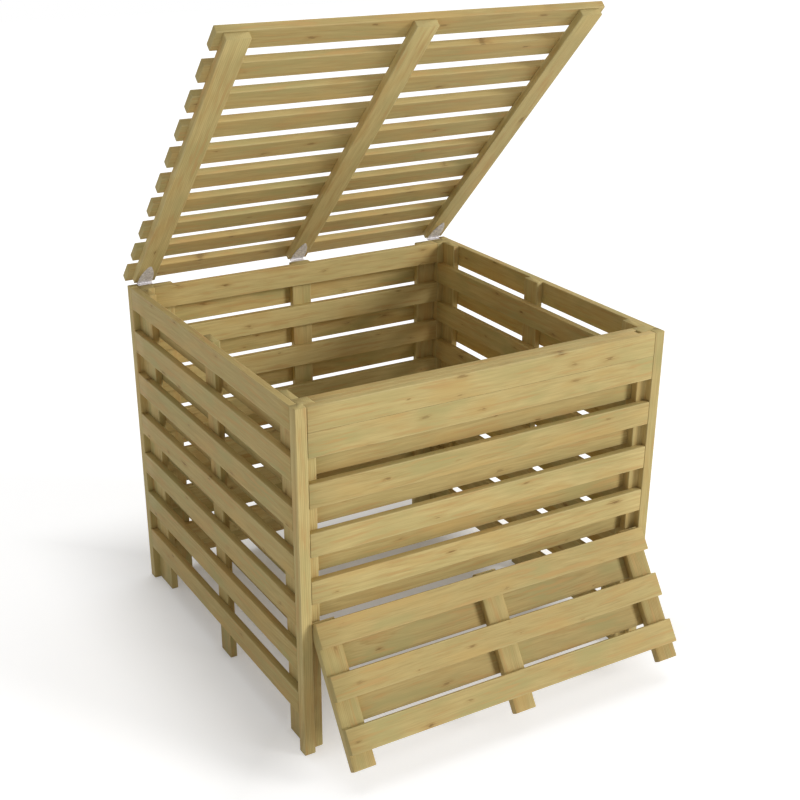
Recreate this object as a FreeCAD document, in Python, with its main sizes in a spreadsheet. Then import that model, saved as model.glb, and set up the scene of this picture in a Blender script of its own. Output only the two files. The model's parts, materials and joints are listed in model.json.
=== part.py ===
import FreeCAD, Part
import math
import os

import Sketcher

# Slatted timber compost bin with a hinged lid and a swing-out front hatch, in millimetres.
# The origin is on the ground, at the centre of the back wall's middle batten. +Z is up and the
# front faces -Y, so the bin reaches from a little behind the origin to a bin's depth before it.
# Every wall has three layers of one board thickness: outer slats, upright battens, inner slats.
# The outer and inner slats are staggered by half a step, so each one faces a gap.

os.makedirs("parts", exist_ok=True)

SIZES = [
    ("bin_width", 1000.0, "outside width, left to right"),
    ("bin_depth", 1000.0, "outside depth, front to back"),
    ("bin_height", 882.5, "ground to the top of the walls"),
    ("board_width", 59.5, "width of every slat"),
    ("board_thick", 19.0, "thickness of every slat and batten"),
    ("ground_gap", 103.0, "ground to the lowest outer slat of a side wall"),
    ("front_board_gap", 0.5, "gap between the two boards at the top of the front"),
    ("edge_ease", 1.0, "bevel along the edges of the boards"),
    ("post_face", 28.0, "visible width of a corner post on each face"),
    ("slat_end_gap", 1.0, "gap between a post's rebate and the end of an outer slat"),
    ("batten_width", 58.0, "width of the upright battens and the lid's battens"),
    ("rail_slot", 10.0, "slot left at the right end of the front's top rail"),
    ("lid_overhang", 3.9, "lid past the back wall when shut"),
    ("lid_batten_inset", 16.0, "end of a lid slat to the outer lid battens"),
    ("lid_batten_front", 2.8, "front slat's edge to the front ends of the lid battens"),
    ("lid_batten_clear", 3.6, "back ends of the lid battens to the hinge axis"),
    ("lid_open_angle", 45.23, "angle of the lid in the rest pose, in degrees"),
    ("hinge_inset", 9.5, "hinge axis in from the back of the bin"),
    ("knuckle_radius", 2.6, "outside radius of the hinge knuckles"),
    ("knuckle_clear", 0.3, "running gap under and beside the knuckles"),
    ("knuckle_length", 16.0, "length of the middle knuckle"),
    ("leaf_thick", 1.2, "thickness of the hinge leaves"),
    ("leaf_width", 40.0, "width of the hinge leaves"),
    ("leaf_length", 82.0, "hinge axis to the round tip of the lid leaf"),
    ("leaf_straight", 15.0, "hinge axis to where the lid leaf begins to narrow"),
    ("leaf_tip", 5.0, "radius of the lid leaf's tip"),
    ("leaf_rise", 0.8, "hinge axis to the underside of the lid battens"),
    ("wall_leaf_drop", 41.0, "top of the walls to the lower edge of the wall leaf"),
    ("wall_leaf_width", 32.0, "width of the wall leaf's upright plate"),
    ("pin_radius", 1.3, "radius of the hinge pins"),
    ("pin_fit", 0.05, "radial running fit of all pins"),
    ("pin_head", 0.6, "thickness of a hinge pin's heads"),
    ("screw_hole", 3.35, "radius of the screw holes in the hinge leaves"),
    ("lid_screw_first", 20.0, "hinge axis to the lid leaf's first screw hole"),
    ("lid_screw_step", 22.0, "step between the lid leaf's three screw holes"),
    ("wall_screw_first", 13.0, "top of the walls to the wall leaf's first screw hole"),
    ("wall_screw_step", 18.0, "step between the wall leaf's two screw holes"),
    ("hatch_head_gap", 52.0, "hatch battens' tops to the front slat above them"),
    ("hatch_foot", 38.0, "feet of the hatch battens below its lowest slat"),
    ("hatch_lift", 5.0, "ground to the feet of the shut hatch"),
    ("hatch_rise", 4.5, "tops of the hatch battens above its highest slat"),
    ("hatch_side_gap", 0.5, "gap between the hatch's slats and the corner posts"),
    ("hatch_back_gap", 1.5, "gap between the hatch battens and the steps of the posts"),
    ("hatch_inner_gap", 1.5, "gap between the hatch's inner slats and the posts"),
    ("hatch_inner_rise", 3.0, "inner slats of the hatch above the middle of their gaps"),
    ("hatch_open_angle", 34.0, "angle of the hatch in the rest pose, in degrees"),
    ("hatch_pin_radius", 4.0, "radius of the hatch's pivot pins"),
    ("hatch_pin_seat", 18.0, "depth of a pivot pin in its corner post"),
    ("hatch_pin_reach", 32.0, "depth of a pivot pin in the hatch batten"),
]

WALL_SLATS = 7
LEFT_INNER_SLATS = 6
RIGHT_INNER_SLATS = 7
BACK_OUTER_SLATS = 7
FRONT_INNER_SLATS = 5
LID_SLATS = 10
HATCH_SLATS = 3
LID_SCREWS = 3
WALL_SCREWS = 2

doc = FreeCAD.newDocument("compost_bin")
sheet = doc.addObject("Spreadsheet::Sheet", "dims")
for row, (alias, number, meaning) in enumerate(SIZES, start=1):
    sheet.set(f"A{row}", meaning)
    sheet.set(f"B{row}", str(number))
    sheet.setAlias(f"B{row}", alias)
doc.recompute()
VALUE = {alias: number for alias, number, meaning in SIZES}

# Expressions used by more than one piece. Each is a length that follows from the sheet.
THICK = "dims.board_thick"
WIDTH = "dims.board_width"
EASE = "dims.edge_ease"
BATTEN = "dims.batten_width"
HEIGHT = "dims.bin_height"
FACE = "dims.post_face"
POST = "3 * dims.board_thick"
LEFT = "-dims.bin_width / 2"
RIGHT = "dims.bin_width / 2"
BACK = "3 * dims.board_thick / 2"
FRONT = f"{BACK} - dims.bin_depth"
MIDDLE = f"{BACK} - dims.bin_depth / 2"
TOP_SLAT = f"{HEIGHT} - {WIDTH}"
SLAT_STEP = f"({TOP_SLAT} - dims.ground_gap) / {WALL_SLATS - 1}"
STAGGER = f"{SLAT_STEP} / 2"
FRONT_LOWEST = f"{TOP_SLAT} - 7 * {STAGGER}"
INNER_LENGTH = f"dims.bin_width - 2 * {POST}"
OUTER_START = f"{FACE} + dims.slat_end_gap"
OUTER_LENGTH = f"dims.bin_width - 2 * ({OUTER_START})"
SIDE_INNER_LENGTH = f"dims.bin_depth - 2 * {POST}"
SIDE_OUTER_LENGTH = f"dims.bin_depth - 2 * ({OUTER_START})"

HINGE_Y = f"{BACK} - dims.hinge_inset"
HINGE_Z = f"{HEIGHT} + dims.knuckle_radius + dims.knuckle_clear"
LID_UNDERSIDE = f"{HINGE_Z} + dims.leaf_rise"
LID_BACK = f"{BACK} + dims.lid_overhang"
LID_WIDTH = "dims.bin_width"
LID_DEPTH = "dims.bin_depth"
LID_STEP = f"({LID_DEPTH} - {WIDTH}) / {LID_SLATS - 1}"
LID_SPREAD = f"{LID_WIDTH} / 2 - dims.lid_batten_inset - {BATTEN} / 2"

HATCH_FRONT = f"{FRONT} - dims.hatch_back_gap"
HATCH_FIRST = "dims.hatch_lift + dims.hatch_foot"
HATCH_TALL = f"{FRONT_LOWEST} - dims.hatch_head_gap - dims.hatch_lift"
HATCH_STEP = f"({HATCH_TALL} - dims.hatch_rise - {WIDTH} - dims.hatch_foot) / {HATCH_SLATS - 1}"
HATCH_Y = f"{HATCH_FRONT} + {THICK} / 2"
HATCH_Z = f"dims.hatch_lift + {HATCH_TALL} - {THICK} / 2"


# How pieces are made: eased boards, rectangles, circles and holes, each sketched in its own body.


def vector(x, y, z=0.0):
    return FreeCAD.Vector(x, y, z)


def origin_feature(body, role):
    return [feature for feature in body.Origin.OriginFeatures if feature.Role == role][0]


def new_body(label):
    body = doc.addObject("PartDesign::Body", label)
    body.Label = label
    return body


def new_sketch(body, name, plane, offset=None):
    """Sketch on one of the body's origin planes, moved along its normal by the offset."""
    sketch = body.newObject("Sketcher::SketchObject", name)
    sketch.AttachmentSupport = [(origin_feature(body, plane), "")]
    sketch.MapMode = "FlatFace"
    if offset:
        sketch.setExpression("AttachmentOffset.Base.z", offset)
    return sketch


def named(sketch, name, constraint, expression):
    index = sketch.addConstraint(constraint)
    sketch.renameConstraint(index, name)
    sketch.setExpression(f"Constraints.{name}", expression)


def line(x0, y0, x1, y1):
    return Part.LineSegment(vector(x0, y0), vector(x1, y1))


def quarter(x, y, radius, start):
    circle = Part.Circle(vector(x, y), vector(0, 0, 1), radius)
    return Part.ArcOfCircle(circle, math.radians(start), math.radians(start + 90))


def eased_rectangle(sketch, across, up):
    """Rectangle from the sketch's origin with its four corners planed off by the easing."""
    wide, tall, ease = 40.0, 30.0, 2.0
    corners = [
        (ease, 0), (wide - ease, 0), (wide, ease), (wide, tall - ease),
        (wide - ease, tall), (ease, tall), (0, tall - ease), (0, ease),
    ]
    for start, end in zip(corners, corners[1:] + corners[:1]):
        sketch.addGeometry(line(*start, *end))
    for side in range(8):
        sketch.addConstraint(Sketcher.Constraint("Coincident", side, 2, (side + 1) % 8, 1))
    for side in (0, 4):
        sketch.addConstraint(Sketcher.Constraint("Horizontal", side))
        sketch.addConstraint(Sketcher.Constraint("Vertical", side + 2))
    sketch.addConstraint(Sketcher.Constraint("PointOnObject", 6, 1, -2))
    sketch.addConstraint(Sketcher.Constraint("PointOnObject", 0, 1, -1))
    for corner, (from_side, to_side) in enumerate(((0, 2), (2, 4), (4, 6), (6, 0))):
        ends = (from_side, 2, to_side, 1)
        if corner in (1, 2):
            ends = (to_side, 1, from_side, 2)
        named(sketch, f"ease_x{corner}", Sketcher.Constraint("DistanceX", *ends, ease), EASE)
    for corner, (from_side, to_side) in enumerate(((0, 2), (2, 4), (4, 6), (6, 0))):
        ends = (from_side, 2, to_side, 1)
        if corner in (2, 3):
            ends = (to_side, 1, from_side, 2)
        named(sketch, f"ease_y{corner}", Sketcher.Constraint("DistanceY", *ends, ease), EASE)
    named(sketch, "across", Sketcher.Constraint("DistanceX", 6, 1, 2, 1, wide), across)
    named(sketch, "up", Sketcher.Constraint("DistanceY", 0, 1, 4, 1, tall), up)


def rectangle(sketch, x, y, across, up):
    """Rectangle whose lower left corner is at x, y in the sketch, all four as expressions."""
    sketch.addGeometry([line(5, 5, 25, 5), line(25, 5, 25, 20), line(25, 20, 5, 20), line(5, 20, 5, 5)])
    for side in range(4):
        sketch.addConstraint(Sketcher.Constraint("Coincident", side, 2, (side + 1) % 4, 1))
    for side in (0, 2):
        sketch.addConstraint(Sketcher.Constraint("Horizontal", side))
        sketch.addConstraint(Sketcher.Constraint("Vertical", side + 1))
    named(sketch, "across", Sketcher.Constraint("DistanceX", 0, 1, 0, 2, 20), across)
    named(sketch, "up", Sketcher.Constraint("DistanceY", 1, 1, 1, 2, 15), up)
    named(sketch, "x", Sketcher.Constraint("DistanceX", -1, 1, 0, 1, 5), x)
    named(sketch, "y", Sketcher.Constraint("DistanceY", -1, 1, 0, 1, 5), y)


def circle(sketch, x, y, radius, name="round"):
    index = sketch.addGeometry(Part.Circle(vector(5, 5), vector(0, 0, 1), 2))
    named(sketch, f"{name}_r", Sketcher.Constraint("Radius", index, 2), radius)
    named(sketch, f"{name}_x", Sketcher.Constraint("DistanceX", -1, 1, index, 3, 5), x)
    named(sketch, f"{name}_y", Sketcher.Constraint("DistanceY", -1, 1, index, 3, 5), y)


def pad(body, sketch, length, backwards=False):
    feature = body.newObject("PartDesign::Pad", f"{body.Name}_pad")
    feature.Profile = sketch
    feature.setExpression("Length", length)
    feature.Reversed = backwards
    doc.recompute()
    return feature


def pocket(body, sketch, depth, backwards=False):
    """Cut the sketch's outline out of the body, and make sure that it takes wood away."""
    before = body.Shape.Volume
    feature = body.newObject("PartDesign::Pocket", f"{body.Name}_pocket")
    feature.Profile = sketch
    feature.setExpression("Length", depth)
    feature.Reversed = backwards
    doc.recompute()
    if body.Shape.Volume > before - 0.01:
        raise ValueError(f"{feature.Name} cuts nothing")
    return feature


def repeat(body, feature, axis, count, extent):
    """Row of copies of a feature along one axis of the body."""
    pattern = body.newObject("PartDesign::LinearPattern", f"{body.Name}_row")
    pattern.Originals = [feature]
    pattern.Direction = (origin_feature(body, axis), [""])
    pattern.Occurrences = count
    pattern.setExpression("Length", extent)
    body.Tip = pattern
    doc.recompute()
    return pattern


def place(body, x, y, z):
    for axis, expression in zip("xyz", (x, y, z)):
        body.setExpression(f"Placement.Base.{axis}", expression)
    return body


def swing(body, x, y, z, axis_y, axis_z, angle):
    """Place a piece by its shut position, then swing it open about an axis along X.

    With dy and dz from the axis, y = axis_y + dy cos a + dz sin a and
    z = axis_z - dy sin a + dz cos a, so the front edge of a lid goes up.
    """
    turned_y = f"{axis_y} + ({y} - ({axis_y})) * cos({angle}) + ({z} - ({axis_z})) * sin({angle})"
    turned_z = f"{axis_z} - ({y} - ({axis_y})) * sin({angle}) + ({z} - ({axis_z})) * cos({angle})"
    place(body, x, turned_y, turned_z)
    body.Placement.Rotation = FreeCAD.Rotation(vector(-1, 0, 0), 1)
    body.setExpression("Placement.Rotation.Angle", angle)
    return body


def on_lid(body, x, y, z):
    return swing(body, x, y, z, HINGE_Y, HINGE_Z, "dims.lid_open_angle")


def on_hatch(body, x, y, z):
    return swing(body, x, y, z, HATCH_Y, HATCH_Z, "dims.hatch_open_angle")


# A board's length runs along x, y or z, and its section has the thickness and the width.

SECTION_PLANE = {"x": "YZ_Plane", "y": "XZ_Plane", "z": "XY_Plane"}


def board(label, along, length, across, up):
    """Eased board from its own origin. Across and up are the section's two sizes."""
    body = new_body(label)
    sketch = new_sketch(body, f"{label}_section", SECTION_PLANE[along])
    eased_rectangle(sketch, across, up)
    feature = pad(body, sketch, length, backwards=along == "y")
    return body, feature


def slat_rows(label, along, length, rows):
    """One layer of slats as a row of equal boards, the lowest at the body's own origin."""
    body, feature = board(label, along, length, THICK, WIDTH)
    repeat(body, feature, "Z_Axis", rows, f"{rows - 1} * {SLAT_STEP}")
    return body


def lowest(top, rows):
    """Height of the lowest of a number of slats that hang down from the top one."""
    return f"{top} - {rows - 1} * {SLAT_STEP}"


# Corner posts: square timber with a rebate on each outside face, where the slats' ends lap.


def corner_post(label, right, back):
    body, feature = board(label, "z", HEIGHT, POST, POST)
    lap = f"{POST} - {FACE}"
    far_x = FACE if not right else "0"
    far_y = FACE if not back else "0"
    shallow_x = "0" if not right else f"{POST} - {THICK}"
    shallow_y = "0" if not back else f"{POST} - {THICK}"
    front_rebate = new_sketch(body, f"{label}_rebate_a", "XY_Plane", HEIGHT)
    rectangle(front_rebate, far_x, shallow_y, lap, THICK)
    pocket(body, front_rebate, HEIGHT)
    side_rebate = new_sketch(body, f"{label}_rebate_b", "XY_Plane", HEIGHT)
    rectangle(side_rebate, shallow_x, far_y, THICK, lap)
    pocket(body, side_rebate, HEIGHT)
    x = LEFT if not right else f"{RIGHT} - {POST}"
    y = FRONT if not back else f"{BACK} - {POST}"
    place(body, x, y, "0")
    return body


def pivot_hole(post, right):
    """Blind hole in a front post for the hatch's pivot pin, bored from the side of its face."""
    cheek = FACE if not right else f"{POST} - {FACE}"
    sketch = new_sketch(post, f"{post.Name}_pivot_hole", "YZ_Plane", cheek)
    circle(sketch, f"{HATCH_Y} - ({FRONT})", HATCH_Z, "dims.hatch_pin_radius")
    pocket(post, sketch, "dims.hatch_pin_seat", backwards=right)


def corner_posts():
    front_left = corner_post("front_left_corner_post", right=False, back=False)
    front_right = corner_post("front_right_corner_post", right=True, back=False)
    pivot_hole(front_left, right=False)
    pivot_hole(front_right, right=True)
    corner_post("back_left_corner_post", right=False, back=True)
    corner_post("back_right_corner_post", right=True, back=True)


# Side walls: outer slats, three battens that stand on the ground, and inner slats. The right
# wall's inner layer has one slat more than the left wall's, low down.


def side_wall(side):
    """One side wall. The layers are counted inwards from the outside face."""
    right = side == "right"
    layer = [f"{LEFT} + {depth} * {THICK}" for depth in (0, 1, 2)]
    if right:
        layer = [f"{RIGHT} - {depth} * {THICK}" for depth in (1, 2, 3)]
    outer = slat_rows(f"{side}_outer_slats", "y", SIDE_OUTER_LENGTH, WALL_SLATS)
    place(outer, layer[0], f"{FRONT} + {OUTER_START}", lowest(TOP_SLAT, WALL_SLATS))
    batten_rows = {
        "front": f"{FRONT} + {POST}",
        "middle": f"{MIDDLE} - {BATTEN} / 2",
        "back": f"{BACK} - {POST} - {BATTEN}",
    }
    for name, y in batten_rows.items():
        batten, feature = board(f"{side}_{name}_batten", "z", HEIGHT, THICK, BATTEN)
        place(batten, layer[1], y, "0")
    rows = RIGHT_INNER_SLATS if right else LEFT_INNER_SLATS
    inner = slat_rows(f"{side}_inner_slats", "y", SIDE_INNER_LENGTH, rows)
    place(inner, layer[2], f"{FRONT} + {POST}", lowest(f"{TOP_SLAT} - {STAGGER}", rows))


# Back wall: the inner slats start flush with the top, because the lid hangs on it.


def back_wall():
    inner = slat_rows("back_inner_slats", "x", INNER_LENGTH, WALL_SLATS)
    place(inner, f"{LEFT} + {POST}", f"{BACK} - {POST}", lowest(TOP_SLAT, WALL_SLATS))
    middle_y = f"{BACK} - 2 * {THICK}"
    batten_rows = {
        "left": f"{LEFT} + {POST}",
        "middle": f"-{BATTEN} / 2",
        "right": f"{RIGHT} - {POST} - {BATTEN}",
    }
    for name, x in batten_rows.items():
        batten, feature = board(f"back_{name}_batten", "z", HEIGHT, BATTEN, THICK)
        place(batten, x, middle_y, "0")
    outer = slat_rows("back_outer_slats", "x", OUTER_LENGTH, BACK_OUTER_SLATS)
    top = f"{TOP_SLAT} - {STAGGER}"
    place(outer, f"{LEFT} + {OUTER_START}", f"{BACK} - {THICK}", lowest(top, BACK_OUTER_SLATS))


# Front wall: two boards edge to edge at the top, three slats below, and the hatch's opening.


def front_wall():
    heights = {
        "front_top_board": TOP_SLAT,
        "front_second_board": f"{TOP_SLAT} - {WIDTH} - dims.front_board_gap",
        "front_upper_slat": f"{TOP_SLAT} - 3 * {STAGGER}",
        "front_middle_slat": f"{TOP_SLAT} - 5 * {STAGGER}",
        "front_lower_slat": FRONT_LOWEST,
    }
    for label, z in heights.items():
        body, feature = board(label, "x", OUTER_LENGTH, THICK, WIDTH)
        place(body, f"{LEFT} + {OUTER_START}", FRONT, z)
    rail, feature = board("front_top_rail", "x", f"{INNER_LENGTH} - dims.rail_slot", THICK, WIDTH)
    place(rail, f"{LEFT} + {POST}", f"{FRONT} + {THICK}", TOP_SLAT)
    inner = slat_rows("front_inner_slats", "x", INNER_LENGTH, FRONT_INNER_SLATS)
    place(inner, f"{LEFT} + {POST}", f"{FRONT} + 2 * {THICK}", lowest(TOP_SLAT, FRONT_INNER_SLATS))


# Lid: ten slats across three battens. It is placed shut and then swung open on its hinges.


def lid_slats():
    for number in range(1, LID_SLATS + 1):
        slat, feature = board(f"lid_slat_{number:02d}", "x", LID_WIDTH, WIDTH, THICK)
        y = f"{LID_BACK} - {WIDTH} - {number - 1} * {LID_STEP}"
        on_lid(slat, f"-{LID_WIDTH} / 2", y, f"{LID_UNDERSIDE} + {THICK}")


def lid_battens():
    front_end = f"{LID_BACK} - {LID_DEPTH} + dims.lid_batten_front"
    length = f"{HINGE_Y} - dims.lid_batten_clear - ({front_end})"
    for name, centre in (("left", f"-({LID_SPREAD})"), ("middle", "0"), ("right", LID_SPREAD)):
        batten, feature = board(f"lid_{name}_batten", "y", length, BATTEN, THICK)
        on_lid(batten, f"{centre} - {BATTEN} / 2", front_end, LID_UNDERSIDE)


# Hatch: three slats, three battens with feet and two inner slats. Its slats lie in front of
# the posts' steps, its outer battens turn on two pins in the posts, and the battens' tops are
# rounded at the back, about the pins, so that they clear the posts.


def hatch_slats():
    names = ("lower", "middle", "upper")
    length = f"dims.bin_width - 2 * ({FACE} + dims.hatch_side_gap)"
    for row, name in enumerate(names):
        slat, feature = board(f"hatch_{name}_slat", "x", length, THICK, WIDTH)
        z = f"{HATCH_FIRST} + {row} * {HATCH_STEP}"
        on_hatch(slat, f"{LEFT} + {FACE} + dims.hatch_side_gap", f"{HATCH_FRONT} - {THICK}", z)


def hatch_inner_slats():
    length = f"{INNER_LENGTH} - 2 * dims.hatch_inner_gap"
    body, feature = board("hatch_inner_slats", "x", length, THICK, WIDTH)
    repeat(body, feature, "Z_Axis", HATCH_SLATS - 1, HATCH_STEP)
    z = f"{HATCH_FIRST} + {HATCH_STEP} / 2 + dims.hatch_inner_rise"
    on_hatch(body, f"{LEFT} + {POST} + dims.hatch_inner_gap", f"{HATCH_FRONT} + {THICK}", z)


def hatch_batten(label, x, bore):
    """Upright of the hatch, drawn from its side, with a round back corner at the top."""
    body = new_body(label)
    sketch = new_sketch(body, f"{label}_side", "YZ_Plane")
    deep, tall, turn = 20.0, 90.0, 10.0
    sketch.addGeometry([
        line(0, 0, deep, 0),
        line(deep, 0, deep, tall - turn),
        quarter(deep - turn, tall - turn, turn, 0),
        line(deep - turn, tall, 0, tall),
        line(0, tall, 0, 0),
    ])
    sketch.addConstraint(Sketcher.Constraint("Coincident", 0, 1, -1, 1))
    sketch.addConstraint(Sketcher.Constraint("Coincident", 0, 2, 1, 1))
    sketch.addConstraint(Sketcher.Constraint("Tangent", 1, 2, 2, 1))
    sketch.addConstraint(Sketcher.Constraint("Tangent", 2, 2, 3, 1))
    sketch.addConstraint(Sketcher.Constraint("Coincident", 3, 2, 4, 1))
    sketch.addConstraint(Sketcher.Constraint("Coincident", 4, 2, 0, 1))
    for flat, upright in ((0, 1), (3, 4)):
        sketch.addConstraint(Sketcher.Constraint("Horizontal", flat))
        sketch.addConstraint(Sketcher.Constraint("Vertical", upright))
    named(sketch, "deep", Sketcher.Constraint("DistanceX", 0, 1, 0, 2, deep), THICK)
    named(sketch, "tall", Sketcher.Constraint("DistanceY", 4, 2, 4, 1, tall), HATCH_TALL)
    named(sketch, "turn", Sketcher.Constraint("Radius", 2, turn), f"{THICK} / 2")
    side = pad(body, sketch, BATTEN)
    front_edges = []
    for number, edge in enumerate(side.Shape.Edges, start=1):
        box = edge.BoundBox
        if box.YMax < 0.01 and box.ZLength > VALUE["board_thick"] * 2:
            front_edges.append(f"Edge{number}")
    ease = body.newObject("PartDesign::Chamfer", f"{label}_ease")
    ease.Base = (side, front_edges)
    ease.setExpression("Size", EASE)
    doc.recompute()
    if bore:
        wall = "0" if bore == "left" else BATTEN
        hole = new_sketch(body, f"{label}_pivot_bore", "YZ_Plane", wall)
        circle(hole, f"{THICK} / 2", f"{HATCH_TALL} - {THICK} / 2", "dims.hatch_pin_radius + dims.pin_fit")
        depth = "dims.hatch_pin_reach + 1"
        pocket(body, hole, depth, backwards=bore == "left")
    return on_hatch(body, x, HATCH_FRONT, "dims.hatch_lift")


def hatch_battens():
    edge = f"{FACE} + dims.hatch_side_gap"
    hatch_batten("hatch_left_batten", f"{LEFT} + {edge}", "left")
    hatch_batten("hatch_middle_batten", f"-{BATTEN} / 2", None)
    hatch_batten("hatch_right_batten", f"{RIGHT} - ({edge}) - {BATTEN}", "right")


def hatch_pivot_pins():
    """Plain dowel pins, tight in the corner posts and running in the hatch battens."""
    length = "dims.hatch_pin_seat + dims.hatch_side_gap + dims.hatch_pin_reach"
    start = {
        "left": f"{LEFT} + {FACE} - dims.hatch_pin_seat",
        "right": f"{RIGHT} - {FACE} + dims.hatch_pin_seat - ({length})",
    }
    for side, x in start.items():
        body = new_body(f"hatch_{side}_pivot_pin")
        sketch = new_sketch(body, f"{side}_pin_section", "YZ_Plane")
        circle(sketch, "0", "0", "dims.hatch_pin_radius")
        pad(body, sketch, length)
        place(body, x, HATCH_Y, HATCH_Z)


# Lid hinges: a long leaf with a round tip under each lid batten, a bent leaf on the back of the
# wall's middle layer, three knuckles on one line and a headed pin. Each body's own origin is on
# the hinge axis.


def knuckle(body, name, start, length):
    """Tube along the axis, with the pin's running fit in its bore."""
    sketch = new_sketch(body, f"{body.Name}_{name}", "YZ_Plane", start)
    circle(sketch, "0", "0", "dims.knuckle_radius", "outside")
    circle(sketch, "0", "0", "dims.pin_radius + dims.pin_fit", "bore")
    return pad(body, sketch, length)


def arc(x, y, radius, start, end):
    """Arc about x, y, anticlockwise from one angle to the other, in radians."""
    return Part.ArcOfCircle(Part.Circle(vector(x, y), vector(0, 0, 1), radius), start, end)


def leaf_outline(sketch):
    """Lid leaf from above: a neck at its knuckle, shoulders, short straight sides, and two long
    arcs that close in on the small round tip and run smoothly into it."""
    neck = VALUE["pin_radius"] + VALUE["pin_fit"] + VALUE["knuckle_clear"]
    shoulder = VALUE["knuckle_radius"] + VALUE["knuckle_clear"] * 2
    half = VALUE["leaf_width"] / 2
    narrow = VALUE["knuckle_length"] / 2
    straight = VALUE["leaf_straight"]
    tip = VALUE["leaf_tip"]
    reach = VALUE["leaf_length"] - tip - straight
    bow = (reach ** 2 + half ** 2 - tip ** 2) / (2 * (half - tip))
    turn = math.atan2(reach, bow - half)
    sketch.addGeometry([
        line(-narrow, -neck, narrow, -neck),
        line(narrow, -neck, narrow, -shoulder),
        line(narrow, -shoulder, half, -shoulder),
        line(half, -shoulder, half, -straight),
        arc(half - bow, -straight, bow, -turn, 0),
        arc(0, -straight - reach, tip, math.pi + turn, 2 * math.pi - turn),
        arc(bow - half, -straight, bow, math.pi, math.pi + turn),
        line(-half, -straight, -half, -shoulder),
        line(-half, -shoulder, -narrow, -shoulder),
        line(-narrow, -shoulder, -narrow, -neck),
    ])


def lid_leaf(name, x):
    body = new_body(f"{name}_hinge_lid_leaf")
    outline = new_sketch(body, f"{name}_lid_leaf_outline", "XY_Plane", "dims.leaf_rise - dims.leaf_thick")
    leaf_outline(outline)
    pad(body, outline, "dims.leaf_thick")
    knuckle(body, "middle_knuckle", "-dims.knuckle_length / 2", "dims.knuckle_length")
    holes = new_sketch(body, f"{name}_lid_leaf_holes", "XY_Plane", "dims.leaf_rise")
    for number in range(LID_SCREWS):
        y = f"-dims.lid_screw_first - {number} * dims.lid_screw_step"
        circle(holes, "0", y, "dims.screw_hole", f"hole{number}")
    pocket(body, holes, "dims.leaf_thick")
    return on_lid(body, x, HINGE_Y, HINGE_Z)


def wall_leaf(name, x):
    """Short leaf that runs forward from its knuckles, then down the back of the middle layer."""
    body = new_body(f"{name}_hinge_wall_leaf")
    drop = "dims.knuckle_radius + dims.knuckle_clear"
    crank = f"{THICK} - dims.hinge_inset"
    top = new_sketch(body, f"{name}_wall_leaf_top", "XY_Plane", f"-({drop})")
    rectangle(top, "-dims.leaf_width / 2", f"-({crank})", "dims.leaf_width", crank)
    pad(body, top, "dims.leaf_thick")
    plate = new_sketch(body, f"{name}_wall_leaf_plate", "XZ_Plane", crank)
    foot = f"-({drop}) - dims.wall_leaf_drop"
    tall = "dims.wall_leaf_drop + dims.leaf_thick"
    rectangle(plate, "-dims.wall_leaf_width / 2", foot, "dims.wall_leaf_width", tall)
    pad(body, plate, "dims.leaf_thick", backwards=True)
    notch = new_sketch(body, f"{name}_wall_leaf_notch", "XY_Plane", f"-({drop}) + dims.leaf_thick")
    wide = "dims.knuckle_length + 2 * dims.knuckle_clear"
    clear = f"{drop} + dims.knuckle_clear"
    rectangle(notch, f"-({wide}) / 2", f"-({clear})", wide, f"{clear} + 1")
    pocket(body, notch, "dims.leaf_thick")
    side_length = "(dims.leaf_width - dims.knuckle_length) / 2 - dims.knuckle_clear"
    knuckle(body, "left_knuckle", "-dims.leaf_width / 2", side_length)
    knuckle(body, "right_knuckle", f"dims.leaf_width / 2 - ({side_length})", side_length)
    holes = new_sketch(body, f"{name}_wall_leaf_holes", "XZ_Plane", crank)
    for number in range(WALL_SCREWS):
        z = f"-({drop}) - dims.wall_screw_first - {number} * dims.wall_screw_step"
        circle(holes, "0", z, "dims.screw_hole", f"hole{number}")
    pocket(body, holes, "dims.leaf_thick")
    return place(body, x, HINGE_Y, HINGE_Z)


def hinge_pin(name, x):
    """Steel pin with a flat head at each end of its stem."""
    body = new_body(f"{name}_hinge_pin")
    stem = new_sketch(body, f"{name}_pin_stem", "YZ_Plane", "-dims.leaf_width / 2")
    circle(stem, "0", "0", "dims.pin_radius")
    pad(body, stem, "dims.leaf_width")
    for end, start in (("left", "-dims.leaf_width / 2 - dims.pin_head"), ("right", "dims.leaf_width / 2")):
        head = new_sketch(body, f"{name}_pin_{end}_head", "YZ_Plane", start)
        circle(head, "0", "0", "(dims.pin_radius + dims.knuckle_radius) / 2")
        pad(body, head, "dims.pin_head")
    return place(body, x, HINGE_Y, HINGE_Z)


def lid_hinges():
    for name, x in (("left", f"-({LID_SPREAD})"), ("middle", "0"), ("right", LID_SPREAD)):
        lid_leaf(name, x)
        wall_leaf(name, x)
        hinge_pin(name, x)


def write_parts():
    """Check every object of the document, then write one file for each body."""
    doc.recompute()
    for item in doc.Objects:
        if "Invalid" in item.State or "Error" in item.State:
            raise ValueError(f"{item.Label} is {item.State}")
    bodies = [item for item in doc.Objects if item.TypeId == "PartDesign::Body"]
    for body in bodies:
        if body.Shape.isNull() or not body.Shape.isValid():
            raise ValueError(f"{body.Label} has no valid shape")
        body.Shape.exportStep(f"parts/{body.Label}.step")
    print(len(bodies), "parts written")


corner_posts()
side_wall("left")
side_wall("right")
back_wall()
front_wall()
lid_slats()
lid_battens()
hatch_slats()
hatch_inner_slats()
hatch_battens()
hatch_pivot_pins()
lid_hinges()
write_parts()
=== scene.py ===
# %% [markdown]
# # A slatted compost bin with its lid up
#
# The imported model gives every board, post and hinge its place. This lesson keeps those places
# and gives each piece the finish of the real one: sawn softwood with growth rings, knots and
# rounded edges, and zinc-plated hinges with their screws. Lengths are in metres.

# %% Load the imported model
import json
import math

import bpy
import numpy as np
from mathutils import Matrix, Vector

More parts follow.
